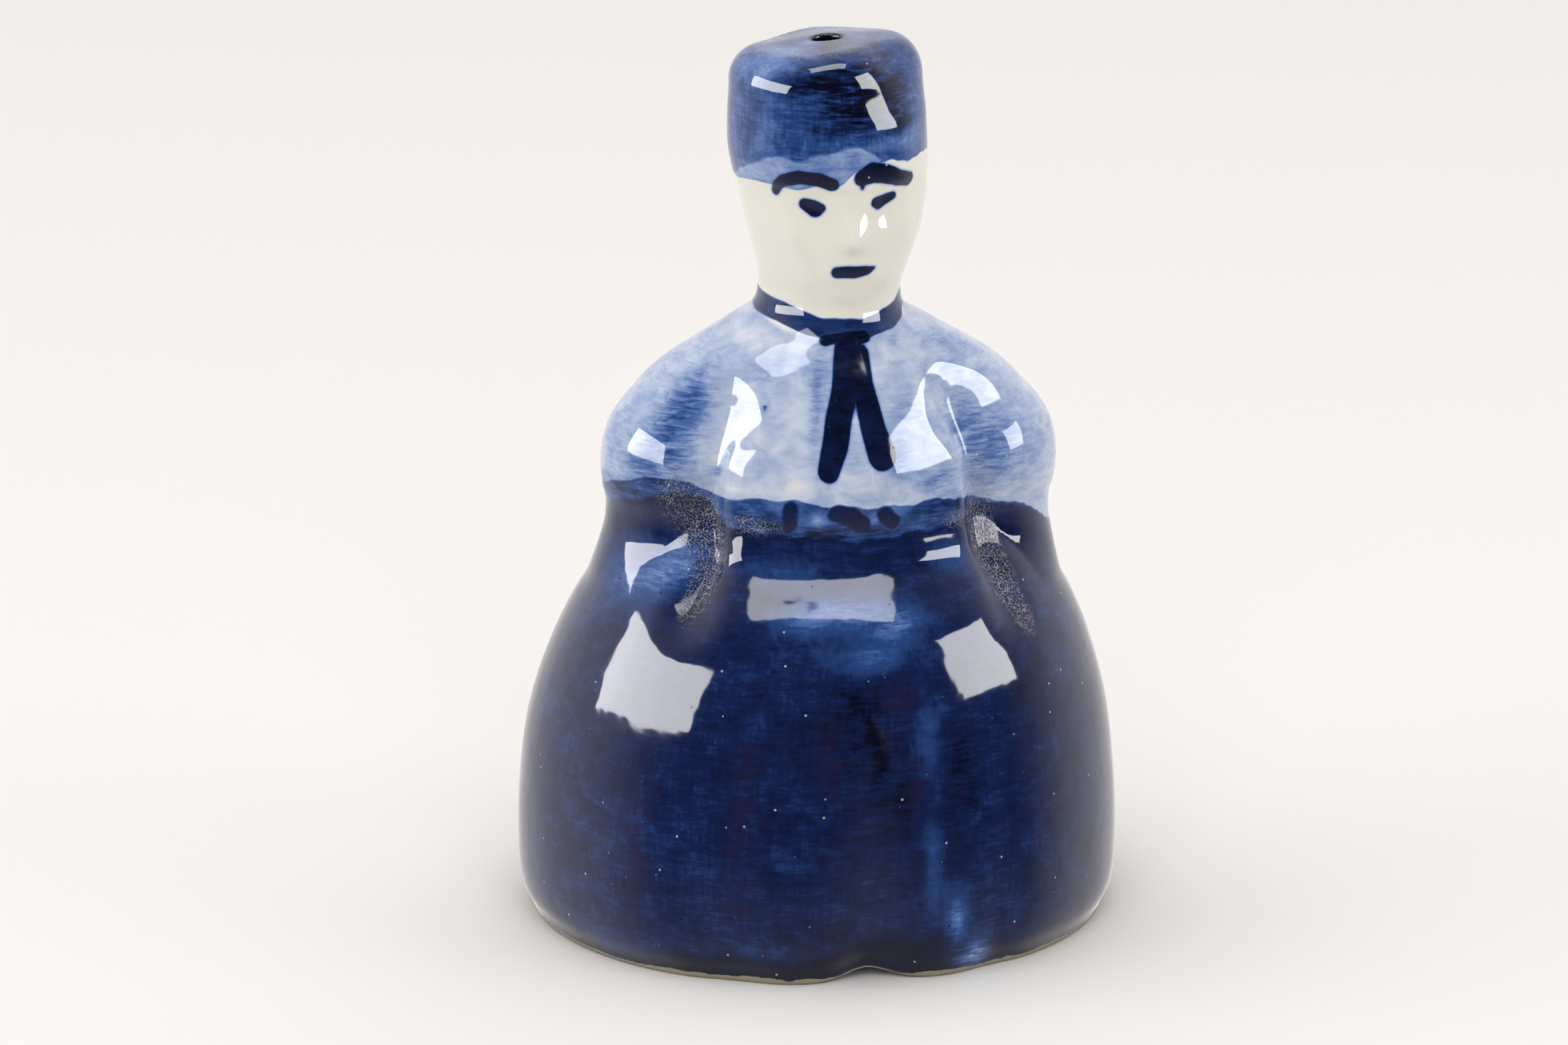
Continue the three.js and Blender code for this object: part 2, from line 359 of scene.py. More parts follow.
def settle(heading, reach, z):
    """Polar place to x, y, z, with the upper body off centre, the crown sagged and the rim arched."""
    x, y = reach * np.sin(np.radians(heading)), -reach * np.cos(np.radians(heading))
    upright = smoothstep(z, 16, 50)
    sag = 0.9 * smoothstep(-x, -1, 7) + 0.6 * smoothstep(y, 1, 8)
    arch = sum(high * bump(turned(heading, at), wide) for at, wide, high in RIM_ARCHES)
    z_set = z + arch * (1 - smoothstep(z, 0, 14)) - sag * smoothstep(z, 90, HEIGHT)
    (shift,) = curve_through(HEAD_SHIFT, z)
    across, along = UPRIGHT_AXIS
    return np.stack([x + across * upright + shift, y + along * upright, z_set], axis=1)


def on_skin(heading, z):
    """Points on the outside, from headings and heights."""
    heading, z = np.asarray(heading, float), np.asarray(z, float)
    return settle(heading, skin(heading, z), z)


# ---- the shell's rings ----
# A ring is (height, height where skin and hollow are read, share of skin, share of hollow, added reach).


def levels(low, high, count):
    """Even heights from low up to, but not at, high."""
    return np.linspace(low, high, count, endpoint=False)


def shell_rings(hole):
    """The section's rings from the foot's edge up, over the crown, down the hole and down inside."""
    foot = FOOT_ROUNDING
    quarter = np.radians(np.linspace(0, 90, 5))
    rings = [(foot * (1 - math.sin(t)), foot, 1, 0, -foot * (1 - math.cos(t))) for t in quarter[::-1]]
    heights = [levels(foot, 40, 62)[1:], levels(40, 66, 44), levels(66, 92, 88), levels(92, CROWN_START, 8)]
    for z in np.concatenate(heights):
        rings.append((z, z, 1, 0, 0))
    for t in np.radians(np.linspace(0, 90, 13)):
        rise = (HEIGHT - CROWN_START) * math.sin(t)
        rings.append((CROWN_START + rise, CROWN_START, 1, 0, -CROWN_EDGE * (1 - math.cos(t))))
    for s in np.linspace(0.12, 1, 9)[:-1]:
        rings.append((HEIGHT, CROWN_START, 1 - s, 0, hole * s - CROWN_EDGE * (1 - s)))
    for t in quarter:
        drop, back = HOLE_LIP * (1 - math.cos(t)), HOLE_LIP * (1 - math.sin(t))
        rings.append((HEIGHT - drop, CROWN_START, 0, 0, hole + back))
    ceiling = HEIGHT - CROWN_WALL
    rings.append((ceiling, CROWN_START, 0, 0, hole))
    for t in quarter[::-1]:
        z = DOME_START + (ceiling - DOME_START) * math.sin(t)
        rings.append((z, DOME_START, 0, 1, -DOME_ROUNDING * (1 - math.cos(t))))
    for z in np.concatenate([levels(foot, 60, 22)[1:], levels(60, 71, 8), levels(71, DOME_START, 8)])[::-1]:
        rings.append((z, z, 0, 1, 0))
    rings += [(foot * (1 - math.sin(t)), foot, 0, 1, foot * (1 - math.cos(t))) for t in quarter]
    return np.array(rings)


def new_object(name, bm, materials):
    """A finished mesh object at the origin, shaded smooth."""
    mesh = bpy.data.meshes.new(name)
    bm.to_mesh(mesh)
    bm.free()
    mesh.shade_smooth()
    for material in materials:
        mesh.materials.append(material)
    made = bpy.data.objects.new(name, mesh)
    bpy.context.scene.collection.objects.link(made)
    return made


def shell_mesh(sizes):
    """The whole shell: its section spun once round, then every ring moved to the figure's shape.

    Returns the bmesh with each point's heading and height, whether it is outside, and whether in the hole.
    """
    wall = sizes.wall / MM
    rings = shell_rings(sizes.hole / MM)
    bm = bmesh.new()
    number = bm.verts.layers.int.new("ring")
    section = []
    ahead = np.zeros(1)
    for i, (z, level, outer, inner, added) in enumerate(rings):
        at = np.array([level])
        reach = outer * plan(ahead, at)[0] + inner * hollow(ahead, at, wall)[0] + added
        vert = bm.verts.new((0, -reach * MM, z * MM))
        vert[number] = i
        section.append(vert)
    for a, b in zip(section, section[1:] + section[:1]):
        bm.edges.new((a, b))
    bmesh.ops.spin(
        bm,
        geom=bm.verts[:] + bm.edges[:],
        cent=(0, 0, 0),
        axis=(0, 0, 1),
        angle=math.tau,
        steps=sizes.sectors,
        use_merge=True,
    )
    bmesh.ops.remove_doubles(bm, verts=bm.verts, dist=1e-7)
    co = np.array([v.co for v in bm.verts]) / MM
    ring = rings[[v[number] for v in bm.verts]]
    heading = np.degrees(np.arctan2(co[:, 0], -co[:, 1]))
    z, level, outer, inner, added = ring.T
    reach = outer * (skin(heading, level) - cap_taper(heading, z))
    reach += inner * hollow(heading, level, wall) + added
    for vert, place in zip(bm.verts, settle(heading, reach, z) * MM):
        vert.co = place
    bmesh.ops.recalc_face_normals(bm, faces=bm.faces)
    return bm, heading, z, inner == 0, (inner == 0) & (outer == 0)


# ---- the painting, laid on the glaze in headings (degrees), heights and half widths (mm) ----

# Lower edge of the cap, then upper edges of the shirt, the belt and the trousers: heading, height.
CAP_EDGE = (
    (-180, 86.6), (-120, 85.6), (-81, 85.3), (-59, 85.7), (-47, 85.5), (-28, 85.5), (-9, 86), (-4, 86.2),
    (1.5, 86.9), (5, 87.4), (22.7, 88.2), (35, 88), (50, 88), (90, 87.4), (180, 86.6),
)
# Upper edge of the paler peak.
PEAK_EDGE = (
    (-180, 84), (-95, 84.5), (-80, 85.7), (-60, 87.5), (-46, 88.4), (-35, 88.8), (-24, 88.8), (-13, 89.3),
    (-6, 89.8), (2, 90), (9, 89.7), (15, 89.1), (22, 88.3), (40, 87.5), (180, 84),
)
SHIRT_EDGE = (
    (-180, 71.2), (-100, 70.6), (-73, 70), (-48, 69.4), (-32, 68.9), (-17, 68.4), (0, 68.3), (14, 68.6),
    (30, 68.9), (50, 69.6), (60, 70.2), (90, 70.6), (180, 70.8),
)
HEM = (
    (-180, 51.8), (-135, 51), (-110, 50), (-91, 50.4), (-79, 52.1), (-68, 53.2), (-60, 53.3), (-55, 52),
    (-46, 51.9), (-26, 52.3), (-11, 51.8), (2, 51.5), (15, 51.3), (27, 51.4), (40, 50.9), (48, 50.2),
    (55, 49.6), (63, 48.5), (70, 47.1), (78, 45.4), (90, 44.6), (110, 46), (135, 50), (180, 51.8),
)
BELT_EDGE = (
    (-180, 48.5), (-110, 48), (-92, 48.4), (-76, 50.2), (-67, 51.2), (-60, 52), (-55, 50.8), (-49, 48.9),
    (-37, 48.6), (-26, 48.3), (-11, 48), (2, 47.7), (14, 48), (26, 48.2), (37, 48.3), (46, 48.8),
    (55, 49.3), (63, 48.3), (70, 46.9), (78, 45.2), (90, 44.4), (110, 45.6), (140, 48), (180, 48.5),
)

# Loaded-brush strokes, nearly black: heading, height, half width.
INK = (
    ((-44.5, 84.8, 0.5), (-41, 85.6, 0.6), (-37, 86.2, 0.65), (-27, 86.8, 0.75), (-17, 86.6, 0.8),
     (-10, 86, 0.75)),
    ((7, 86.7, 0.95), (13.7, 87.2, 1.1), (21.6, 86.9, 1.05), (30.5, 86.1, 0.9), (38, 85.7, 0.8)),
    ((6.7, 86.4, 0.5), (6.8, 85.4, 0.2)),
    ((-27, 83.6, 0.6), (-21.5, 83.1, 0.92), (-17.6, 83.2, 0.5)),
    ((15.3, 83.6, 0.6), (17.5, 83.5, 0.78), (22, 83.8, 0.62), (27, 84.1, 0.4)),
    ((-8.1, 75.9, 0.68), (2.2, 75.9, 0.64), (10.8, 76, 0.5), (14.6, 76.2, 0.22)),
    ((-12, 68.3, 0.65), (-5, 68.5, 0.6), (3.4, 68.3, 0.9), (12, 68.5, 0.7)),
    ((1, 68, 1.2), (1, 67.5, 1.5), (-1.7, 65, 1.43), (-4.4, 62.6, 1.43), (-6.5, 60.6, 1.43),
     (-8.6, 57.7, 1.4), (-10.3, 55.5, 1.15)),
    ((7.5, 67, 0.9), (6.2, 64.3, 1.05), (6.1, 61.9, 1.3), (6.7, 59.4, 1.45), (8.7, 56.9, 1.6)),
    ((-36.3, 61.6, 0.28), (-36, 61.6, 0.28)),
)
# The collar and other strokes of a thinner wash.
WASH = (
    ((-180, 71.6, 1), (-140, 71.4, 1), (-100, 71.2, 1.1), (-73, 70.9, 1.15), (-48, 70.5, 1.15),
     (-32, 70, 1.15), (-17, 69.5, 1.15), (0, 69.2, 1.2), (14, 69.2, 1.15), (30, 69.6, 1.1),
     (50, 70.3, 1), (60, 71, 1), (90, 71.5, 1), (140, 71.5, 1), (180, 71.6, 1)),
)
# Dark squares along the belt: heading, height, half width.
BELT_DARK = (
    ((-23.4, 51.2, 0.9), (-23.4, 49.6, 0.9)),
    ((-8, 50.8, 1), (-3, 50.4, 1.1), (1, 49.6, 0.9)),
    ((8, 50.6, 0.9), (11, 49.6, 0.9)),
    ((37.6, 50.8, 0.4), (38.2, 49.8, 0.35)),
)

# Where the cobalt lies thicker or thinner: heading, height, half width in degrees, half height in mm,
# change of density.
POOLS = (
    # shirt and sleeves
    (-66, 58.5, 8, 4.5, 0.24), (-69, 54.8, 9, 2.2, 0.2), (-67, 62, 6, 3, 0.14), (-54, 58, 4, 5, -0.05),
    (-24, 57, 9, 5, -0.06), (14.5, 57, 5, 2.5, 0.21), (22, 61, 6, 2, 0.08), (52, 57, 8, 5.5, 0.2),
    (-14, 65, 6, 3, 0.08), (66, 66, 16, 2, 0.1), (-95, 66, 20, 2.5, 0.05), (3, 53.4, 16, 1, -0.05),
    (-40, 53.2, 12, 0.7, -0.1), (-15.5, 61, 2.4, 4, 0.16), (30, 53.6, 8, 1, 0.2),
    (-52, 54.5, 2, 0.5, 0.25), (29, 68, 4, 0.6, 0.2), (-50, 68, 26, 0.9, -0.12),
    (10, 66, 10, 2.5, -0.08), (-80, 51.3, 12, 1.1, 0.2),
    # belt
    (-40, 50.6, 6, 1.2, 0.16), (-30, 49.5, 5, 1, 0.22), (-14.4, 50.2, 2.6, 0.8, -0.3),
    (5, 50.2, 2.4, 0.7, -0.22), (-8, 48.6, 18, 0.8, 0.25), (20, 50.4, 4, 1, 0.1), (30, 50, 6, 1.4, 0.22),
    (44, 49.8, 5, 1, 0.15), (62, 56, 8, 5, 0.05), (-84, 57, 8, 5, 0.05),
    # cap
    (-3, 96, 17, 4.2, 0.3), (22, 96.4, 20, 4.2, 0.24), (-25, 97.4, 16, 1.4, 0.22),
    (-58, 93.5, 5, 3, 0.14), (4, 92.4, 24, 2, 0.06), (38, 94.5, 12, 4, 0.18),
    (-60, 98.8, 16, 1.5, -0.22), (-50, 92, 14, 3.5, -0.05), (33, 90.2, 12, 1.1, -0.19),
    (47, 90, 9, 2, -0.13), (8, 90, 14, 0.8, -0.1), (-17, 92, 2.5, 0.7, 0.2),
    # trousers
    (-70, 42, 12, 3.2, -0.3), (-58, 44, 6, 2.5, -0.34), (-17, 40.3, 8, 1.6, -0.26),
    (-5, 41, 10, 1.8, -0.29), (8, 39.6, 8, 1.8, -0.3), (0, 36.5, 9, 1.7, -0.22), (12, 27, 3, 4.5, -0.2),
    (12.5, 13.5, 2, 5, -0.2), (17, 7, 2.4, 3, -0.34), (22, 2.2, 4, 1.8, -0.54), (20, 23, 4, 5.5, 0.08),
    (-64, 30, 10, 4, -0.06), (-24, 44.5, 10, 1.4, -0.22), (33, 45, 8, 1.6, -0.22), (0, 27, 12, 8, 0.05),
    (150, 38, 30, 4, -0.26), (-140, 30, 14, 8, -0.21), (100, 20, 10, 9, -0.16), (-175, 14, 8, 8, -0.22),
)
# Brownish runs in the glaze of the trousers.
RUNS = (
    (-26, 18, 3.5, 9), (-9, 26, 3.4, 4), (6, 31, 4, 3), (10, 22, 2, 6), (-48, 15, 3, 8), (95, 25, 4, 9),
    (170, 20, 4, 8),
)
# Where dust and lint have gathered.
DUSTY = (
    (-60, 51, 6, 3.5), (-53, 47, 5, 3.5), (-48, 42.5, 3.5, 3.5), (-36, 49.2, 10, 0.9), (50, 51, 4, 4),
    (50, 46, 4.5, 4), (46, 40.5, 3.5, 4), (40, 48.8, 8, 0.9), (133, 48, 7, 6), (-133, 48, 7, 6),
)

HOLE_PAINTED_SHADE = 0.6  # painted shade: the crown's hole is painted near black, standing in for the shade inside the hole

# What the inside holds in place of each stored triple: far outside every edge, with a trace of dust.
UNPAINTED = {"clothes": (-9, -9, -9), "strokes": (-9, -9, -9), "cap": (-9, 0, 0), "dust": (0.15, -9, -9)}


def edge_height(rows, heading):
    """Height of a painted edge at each heading."""
    return curve_through(rows, heading)[0]


def stroke_depth(strokes, points):
    """How far each point lies inside the nearest stroke, in mm; below 0 outside."""
    deepest = np.full(len(points), -5.0)
    for stroke in strokes:
        heading, z, half = np.array(stroke, float).T
        even = np.linspace(0, len(stroke) - 1, 6 * (len(stroke) - 1) + 1)
        steps = np.arange(len(stroke))
        heading, z, half = (np.interp(even, steps, row) for row in (heading, z, half))
        line = on_skin(heading, z)
        for a, b, wide, narrow in zip(line, line[1:], half, half[1:]):
            near = np.abs(points[:, 2] - a[2]) < 5
            along = b - a
            t = np.clip((points[near] - a) @ along / max(along @ along, 1e-9), 0, 1)
            away = np.linalg.norm(points[near] - a - t[:, None] * along, axis=1)
            deepest[near] = np.maximum(deepest[near], wide + (narrow - wide) * t - away)
    return deepest


def wobble(points):
    """How far a hand-drawn edge wanders at each point, in mm."""
    x, y, z = points.T
    return 0.16 * np.sin(1.3 * x + 0.9 * z) + 0.06 * np.sin(2.9 * x - 2.1 * z + 1.7 * y)


def paint(mesh, heading, z, outside, bore):
    """Stores the painting on the shell: edges, strokes and amounts, each three numbers a point."""
    points = np.empty(len(mesh.vertices) * 3)
    mesh.vertices.foreach_get("co", points)
    points = points.reshape(-1, 3) / MM
    wander = wobble(points)
    cap = z - edge_height(CAP_EDGE, heading) + wander
    shirt, hem, belt = (edge_height(rows, heading) - z + wander for rows in (SHIRT_EDGE, HEM, BELT_EDGE))
    painted = np.maximum(smoothstep(shirt, 0, 1.5), smoothstep(cap, 0, 1.5))
    ink, wash, squares = (stroke_depth(strokes, points) for strokes in (INK, WASH, BELT_DARK))
    turn = np.radians(heading)
    foot = 3.2 + 1.1 * np.sin(3 * turn + 1) + 0.7 * np.sin(8 * turn) - z + 2 * wander
    pools_and_hole_shade = painted * (spots(POOLS, heading, z) + 0.1 * fly_crease(heading, z))
    # painted shade: the points in the crown's hole get a near-black density for the dark of the hole
    pools_and_hole_shade = np.where(bore, HOLE_PAINTED_SHADE, pools_and_hole_shade)
    dusty = spots(DUSTY, heading, z) + 0.35 * smoothstep(z, 99.3, 100)
    peak = np.minimum(cap, edge_height(PEAK_EDGE, heading) - z + wander)
    layers = {
        "clothes": (shirt, hem, belt),
        "strokes": (ink + 0.3 * wander, wash + 0.5 * wander, squares + wander),
        "cap": (cap, pools_and_hole_shade, np.clip(spots(RUNS, heading, z), 0, 1)),
        "dust": (np.clip(dusty, 0, 1), peak, foot),
    }
    for name, rows in layers.items():
        values = np.where(outside, np.stack(rows), np.array(UNPAINTED[name])[:, None])
        attribute = mesh.attributes.new(name, "FLOAT_VECTOR", "POINT")
        attribute.data.foreach_set("vector", values.T.astype(np.float32).ravel())


# ---- materials ----


def add(tree, kind, inputs=None, **settings):
    """Add a node with its settings, and set its inputs or link them to a socket or a first output."""
    made = tree.nodes.new(kind)
    for name, value in settings.items():
        setattr(made, name, value)
    for name, value in (inputs or {}).items():
        socket = made.inputs[name]
        if isinstance(value, bpy.types.Node):
            value = next(out for out in value.outputs if out.enabled)
        if isinstance(value, bpy.types.NodeSocket):
            tree.links.new(value, socket)
        else:
            socket.default_value = value
    return made


def new_material(name):
    """An empty material and its node tree."""
    material = bpy.data.materials.new(name)
    material.use_nodes = True
    material.node_tree.nodes.clear()
    return material, material.node_tree


def per(size):
    """How many features of a size in mm fit in a metre."""
    return 1 / (size * MM)


# How thick the cobalt lies, from 0 to 1, where each of the paint's colours is reached.
COATS = (
    ("bare", 0),
    ("faint", 0.12),
    ("light", 0.26),
    ("middle", 0.44),
    ("full", 0.62),
    ("deep", 0.82),
    ("black", 1),
)

# Patterns in the paint and glaze: size in mm, how much longer they are along x, y and z, detail,
# roughness, bend.
PATTERNS = {
    "bristle": (0.4, (6, 6, 1), 5, 0.65, 0.6),
    "upright": (0.5, (1, 1, 8), 4, 0.6, 0.2),
    "mottle": (2.4, (1.5, 1.5, 1), 6, 0.62, 0.5),
    "broad": (7, (1.4, 1.4, 1), 3, 0.5, 0),
    "grit": (0.2, (1, 1, 1), 2, 0.7, 0),
    "fibre": (1.3, (1, 1, 1), 1.5, 0.5, 1.2),
    "wave": (5, (1, 1, 1), 2, 0.4, 0),
}

SPECK_SPACING = 1.7  # mm
PINHOLE_SPACING = 3
GLAZE_IOR = 1.52

# Coats in the order they are brushed on: what bounds them, half the softness of that edge in mm, how thick
# they lie, and how much each pattern varies that. The ink's first coat is the halo that bleeds from it.
COATS_IN_ORDER = (
    ("shirt", 0.3, 0.2, {"bristle": 0.16, "mottle": 0.45, "broad": 0.16}),
    ("hem", 0.14, 0.58, {"bristle": 0.4, "mottle": 0.6}),
    ("belt", 0.3, 0.84, {"upright": 0.16, "bristle": 0.28, "mottle": 0.34, "broad": 0.2}),
    ("foot", 0.8, 0.96, {"mottle": 0.2}),
    ("cap", 0.14, 0.6, {"bristle": 0.4, "upright": 0.3, "mottle": 0.6}),
    ("peak", 0.25, 0.34, {"bristle": 0.3, "mottle": 0.5}),
    ("wash", 0.16, 0.76, {"bristle": 0.3, "mottle": 0.4}),
    ("squares", 0.22, 0.88, {"mottle": 0.3}),
    ("ink", 0.42, 0.5, {"mottle": 0.2}),
    ("ink", 0.13, 0.93, {"bristle": 0.2, "mottle": 0.3}),
)


def painted_porcelain(finishes):
    """Slip-cast white porcelain, brushed by hand in cobalt and dipped in a clear glaze.

    The eye sees brush marks and pools in the blue, a wet gloss with slow waves and pinholes, lint caught in
    the creases and a bare biscuit foot.
    """
    material, tree = new_material("painted_porcelain")
    place = add(tree, "ShaderNodeTexCoord").outputs["Object"]
    stored = {}
    for layer, names in (
        ("clothes", ("shirt", "hem", "belt")),
        ("strokes", ("ink", "wash", "squares")),
        ("cap", ("cap", "pools_and_hole_shade", "runs")),
        ("dust", ("dusty", "peak", "foot")),
    ):
        read = add(tree, "ShaderNodeAttribute", attribute_name=layer)
        split = add(tree, "ShaderNodeSeparateXYZ", {"Vector": read.outputs["Vector"]})
        stored.update(zip(names, split.outputs))
    marks = {}
    for name, (feature, longer, detail, roughness, bend) in PATTERNS.items():
        mapped = add(tree, "ShaderNodeMapping", {"Vector": place, "Scale": [1 / s for s in longer]})
        inputs = {"Vector": mapped, "Scale": per(feature), "Detail": detail, "Roughness": roughness}
        marks[name] = add(tree, "ShaderNodeTexNoise", {**inputs, "Distortion": bend})

    density = 0.0
    for edge, soft, thickness, varied in COATS_IN_ORDER:
        inputs = {"Value": stored[edge], "From Min": -soft, "From Max": soft}
        inside = add(tree, "ShaderNodeMapRange", inputs, interpolation_type="SMOOTHSTEP")
        coat = thickness - sum(varied.values()) / 2
        for name, amount in varied.items():
            inputs = {0: marks[name], 1: amount, 2: coat}
            coat = add(tree, "ShaderNodeMath", inputs, operation="MULTIPLY_ADD")
        # the cobalt's pools, with the painted shade in the crown's hole, streaked by the bristles
        if edge == "wash":
            inputs = {"Value": marks["bristle"], "From Min": 0.38, "From Max": 0.62}
            streaks = add(tree, "ShaderNodeMapRange", {**inputs, "To Min": 0.6, "To Max": 1.4})
            inputs = {0: stored["pools_and_hole_shade"], 1: streaks, 2: density}
            pools_and_hole_shade = add(tree, "ShaderNodeMath", inputs, operation="MULTIPLY_ADD")
            density = add(tree, "ShaderNodeMath", {0: pools_and_hole_shade, 1: 0}, operation="MAXIMUM")
        density = add(tree, "ShaderNodeMix", {"Factor": inside, "A": density, "B": coat})
    ramp = add(tree, "ShaderNodeValToRGB", {"Fac": density})
    stops = ramp.color_ramp.elements
    while len(stops) < len(COATS):
        stops.new(0.5)
    for stop, (name, thickness) in zip(stops, COATS):
        stop.position = thickness
        stop.color = getattr(finishes, name)

    # brownish runs where the mottle is thick
    inputs = {"Value": marks["mottle"], "From Min": 0.4, "From Max": 0.62, "To Max": 0.5}
    thick = add(tree, "ShaderNodeMapRange", inputs)
    run = add(tree, "ShaderNodeMath", {0: stored["runs"], 1: thick}, operation="MULTIPLY")
    colour = add(tree, "ShaderNodeMix", {0: run, 6: ramp, 7: finishes.run}, data_type="RGBA")

    # dust: grit, and thin lines of lint where a bent pattern crosses its middle value
    off = add(tree, "ShaderNodeMath", {0: marks["fibre"], 1: 0.5}, operation="SUBTRACT")
    away = add(tree, "ShaderNodeMath", {0: off}, operation="ABSOLUTE")
    inputs = {"Value": away, "From Min": 0.004, "From Max": 0.02, "To Min": 1, "To Max": 0}
    lint = add(tree, "ShaderNodeMapRange", inputs)
    specks = add(tree, "ShaderNodeMapRange", {"Value": marks["grit"], "From Min": 0.52, "From Max": 0.68})
    inputs = {0: lint, 1: 0.9, 2: specks}
    loose = add(tree, "ShaderNodeMath", inputs, operation="MULTIPLY_ADD", use_clamp=True)
    inputs = {"Value": stored["dusty"], "From Min": 0.12, "From Max": 0.75, "To Max": 0.8}
    dusty = add(tree, "ShaderNodeMapRange", inputs)
    dust = add(tree, "ShaderNodeMath", {0: loose, 1: dusty}, operation="MULTIPLY")
    colour = add(tree, "ShaderNodeMix", {0: dust, 6: colour, 7: finishes.dust}, data_type="RGBA")

    # the foot, wiped bare of glaze before the firing
    low = add(tree, "ShaderNodeSeparateXYZ", {"Vector": place}).outputs["Z"]
    inputs = {0: marks["mottle"], 1: -1.3 * MM, 2: low}
    ragged = add(tree, "ShaderNodeMath", inputs, operation="MULTIPLY_ADD")
    foot = add(tree, "ShaderNodeMapRange", {"Value": ragged, "From Min": 0.1 * MM, "From Max": 0})
    colour = add(tree, "ShaderNodeMix", {0: foot, 6: colour, 7: finishes.biscuit}, data_type="RGBA")
    matt = add(tree, "ShaderNodeMath", {0: foot, 1: dust}, operation="MAXIMUM")
    roughness = add(tree, "ShaderNodeMapRange", {"Value": matt, "To Min": 0.06, "To Max": 0.8})

    # white specks of kiln dust in some cells of a scatter
    scatter = add(tree, "ShaderNodeTexVoronoi", {"Vector": place, "Scale": per(SPECK_SPACING)})
    inputs = {"Value": scatter, "From Min": 0.05, "From Max": 0.1, "To Min": 0.7, "To Max": 0}
    speck = add(tree, "ShaderNodeMapRange", inputs)
    chance = add(tree, "ShaderNodeSeparateXYZ", {"Vector": scatter.outputs["Color"]})
    chosen = add(tree, "ShaderNodeMath", {0: chance, 1: 0.76}, operation="GREATER_THAN")
    speck = add(tree, "ShaderNodeMath", {0: speck, 1: chosen}, operation="MULTIPLY")
    colour = add(tree, "ShaderNodeMix", {0: speck, 6: colour, 7: finishes.speck}, data_type="RGBA")

    # dark grains of cobalt, only where there is paint
    inputs = {"Value": scatter, "From Min": 0.06, "From Max": 0.13, "To Min": 0.8, "To Max": 0}
    spot = add(tree, "ShaderNodeMapRange", inputs)
    chosen = add(tree, "ShaderNodeMath", {0: chance, 1: 0.2}, operation="LESS_THAN")
    spot = add(tree, "ShaderNodeMath", {0: spot, 1: chosen}, operation="MULTIPLY")
    on_paint = add(tree, "ShaderNodeMapRange", {"Value": density, "From Min": 0.2, "From Max": 0.5})
    spot = add(tree, "ShaderNodeMath", {0: spot, 1: on_paint}, operation="MULTIPLY")
    colour = add(tree, "ShaderNodeMix", {0: spot, 6: colour, 7: finishes.spot}, data_type="RGBA")

    # the glaze: slow waves, pinholes 0.2 mm across and the dust's own tooth
    cells = add(tree, "ShaderNodeTexVoronoi", {"Vector": place, "Scale": per(PINHOLE_SPACING)})
    inputs = {"Value": cells, "From Min": 0.02, "From Max": 0.04, "To Min": -0.2, "To Max": 0}
    pinhole = add(tree, "ShaderNodeMapRange", inputs)
    surface = add(tree, "ShaderNodeMath", {0: marks["wave"], 1: 0.5, 2: pinhole}, operation="MULTIPLY_ADD")
    surface = add(tree, "ShaderNodeMath", {0: dust, 1: 0.2, 2: surface}, operation="MULTIPLY_ADD")
    bumps = add(tree, "ShaderNodeBump", {"Height": surface, "Strength": 0.6, "Distance": 0.3 * MM})
    inputs = {"Base Color": colour, "Roughness": roughness, "IOR": GLAZE_IOR, "Normal": bumps}
    shader = add(tree, "ShaderNodeBsdfPrincipled", inputs)
    add(tree, "ShaderNodeOutputMaterial", {"Surface": shader})
    return material


def white_porcelain(finishes):
    """Pressed white porcelain under a clear glaze: a wet gloss, with a few iron specks and faint waves."""
    material, tree = new_material("white_porcelain")
    place = add(tree, "ShaderNodeTexCoord").outputs["Object"]
    cloudy = add(tree, "ShaderNodeTexNoise", {"Vector": place, "Scale": per(4), "Detail": 3})
    inputs = {"Value": cloudy, "From Min": 0.3, "From Max": 0.7, "To Max": 0.25}
    shade = add(tree, "ShaderNodeMapRange", inputs)
    colour = add(tree, "ShaderNodeMix", {0: shade, 6: finishes.bare, 7: finishes.cloud}, data_type="RGBA")
    cells = add(tree, "ShaderNodeTexVoronoi", {"Vector": place, "Scale": per(3.5)})
    inputs = {"Value": cells, "From Min": 0.03, "From Max": 0.06, "To Min": 0.7, "To Max": 0}
    speck = add(tree, "ShaderNodeMapRange", inputs)
    colour = add(tree, "ShaderNodeMix", {0: speck, 6: colour, 7: finishes.iron}, data_type="RGBA")
    bumps = add(tree, "ShaderNodeBump", {"Height": cloudy, "Strength": 0.2, "Distance": 0.2 * MM})
    inputs = {"Base Color": colour, "Roughness": 0.07, "IOR": GLAZE_IOR, "Normal": bumps}
    shader = add(tree, "ShaderNodeBsdfPrincipled", inputs)
    add(tree, "ShaderNodeOutputMaterial", {"Surface": shader})
    return material


